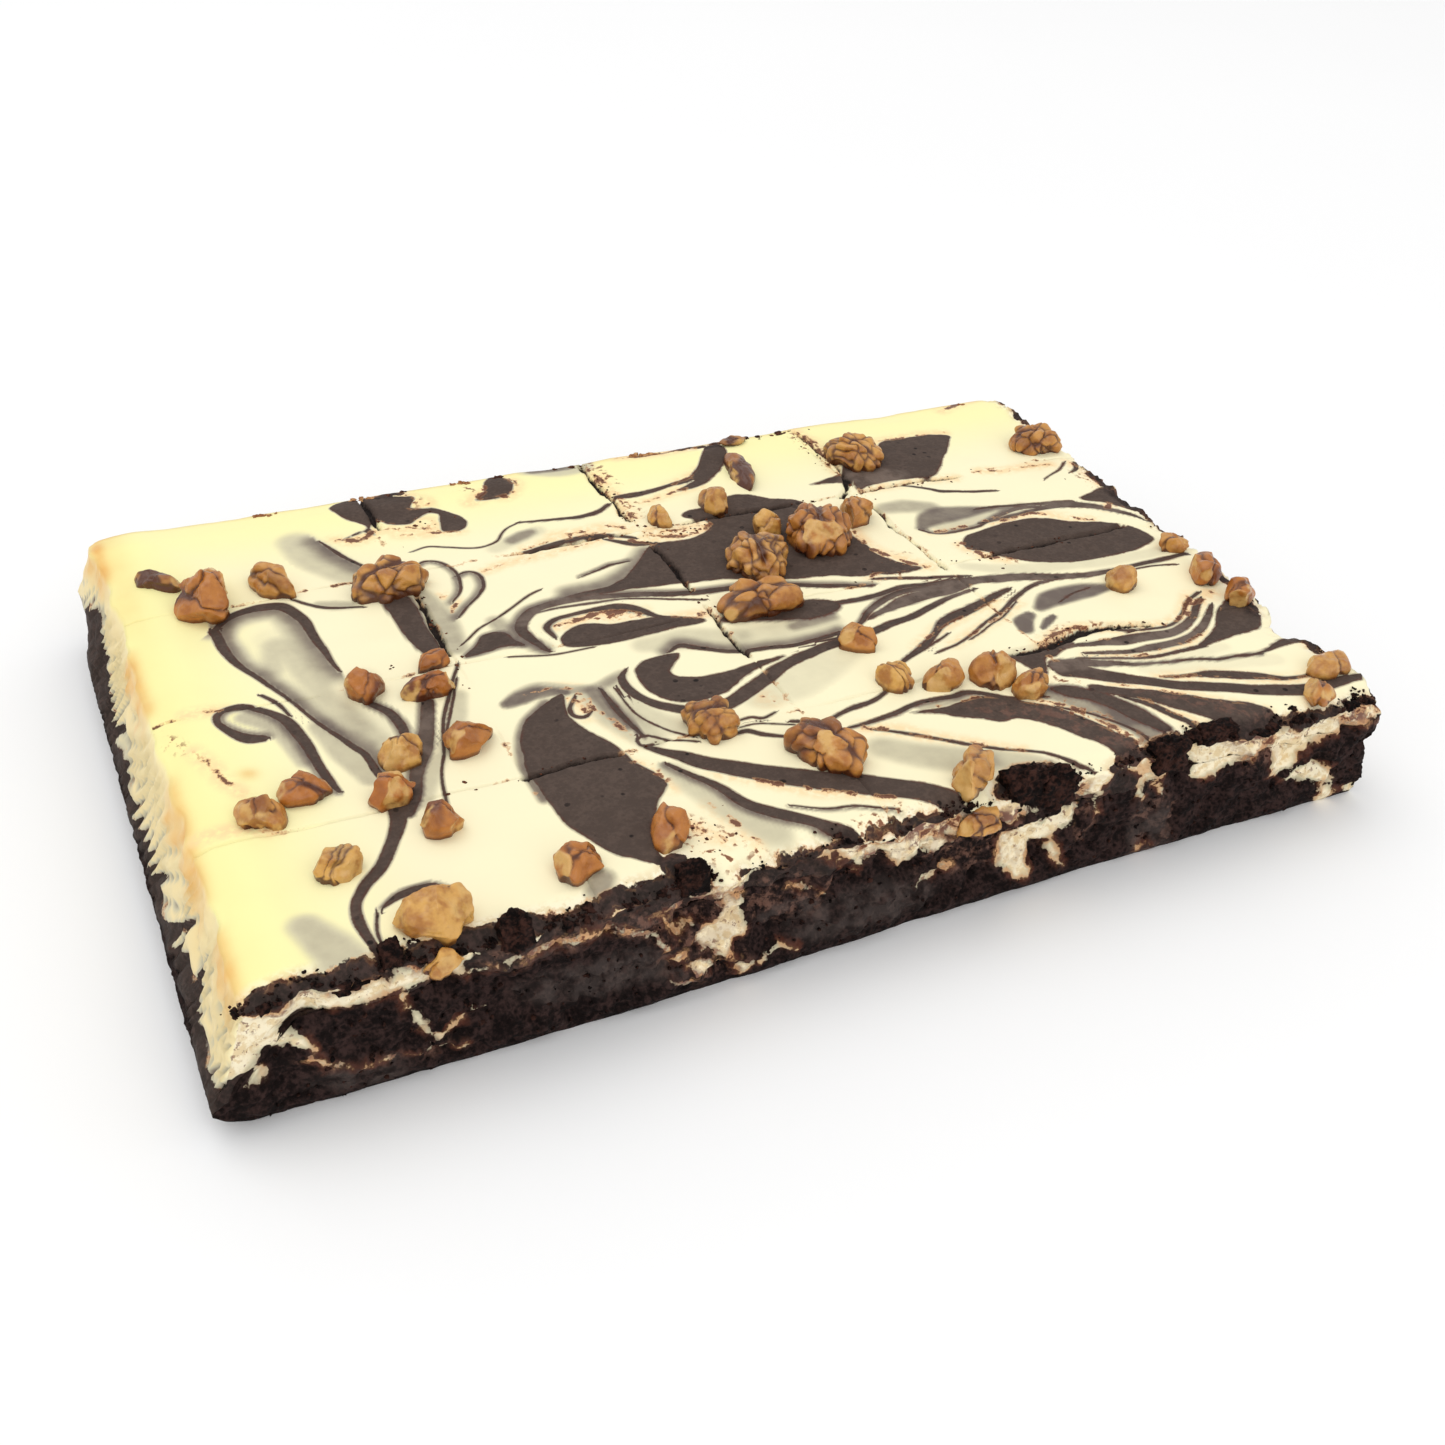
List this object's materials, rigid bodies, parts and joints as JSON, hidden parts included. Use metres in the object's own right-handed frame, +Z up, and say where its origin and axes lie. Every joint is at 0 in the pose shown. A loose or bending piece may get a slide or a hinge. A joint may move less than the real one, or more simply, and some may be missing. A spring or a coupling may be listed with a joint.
{
  "type": "cream cheese brownie",
  "caption": "Rectangular slab of dark brownie under a marbled cream cheese top, scored into portions and scattered with broken walnuts.",
  "frame": {"origin": "middle of the flat underside", "axes": "+X along the long side to the right, +Y to the back, +Z up"},
  "size_m": [0.3209, 0.208, 0.0478],
  "materials": {
    "brownie": "rough moist crumb, nearly black brown",
    "cream_cheese": "smooth baked cheese, warm ivory, marbled with dark cocoa swirls",
    "walnut": "tan kernel with darker skin in the folds"
  },
  "bodies": {
    "root": {"brownie_base": "brownie", "cream_cheese_layer": "cream_cheese", "walnut_half_01": "walnut", "walnut_half_02": "walnut", "walnut_half_03": "walnut", "walnut_half_04": "walnut", "walnut_half_05": "walnut", "walnut_half_06": "walnut", "walnut_half_07": "walnut", "walnut_half_08": "walnut", "walnut_chunk_09": "walnut", "walnut_sliver_10": "walnut", "walnut_sliver_11": "walnut", "walnut_chunk_12": "walnut", "walnut_chunk_13": "walnut", "walnut_chunk_14": "walnut", "walnut_chunk_15": "walnut", "walnut_chunk_16": "walnut", "walnut_chunk_17": "walnut", "walnut_chunk_18": "walnut", "walnut_chunk_19": "walnut", "walnut_chunk_20": "walnut", "walnut_chunk_21": "walnut", "walnut_chunk_22": "walnut", "walnut_chunk_23": "walnut", "walnut_chunk_24": "walnut", "walnut_chunk_25": "walnut", "walnut_sliver_26": "walnut", "walnut_chunk_27": "walnut", "walnut_chunk_28": "walnut", "walnut_chunk_29": "walnut", "walnut_chunk_30": "walnut", "walnut_chunk_31": "walnut", "walnut_chunk_32": "walnut", "walnut_chunk_33": "walnut", "walnut_chunk_34": "walnut", "walnut_chunk_35": "walnut", "walnut_sliver_36": "walnut", "walnut_chunk_37": "walnut", "walnut_chunk_38": "walnut", "walnut_chunk_39": "walnut", "walnut_chunk_40": "walnut", "walnut_sliver_41": "walnut", "walnut_sliver_42": "walnut", "walnut_chunk_43": "walnut", "walnut_chunk_44": "walnut"}
  },
  "joints": []
}
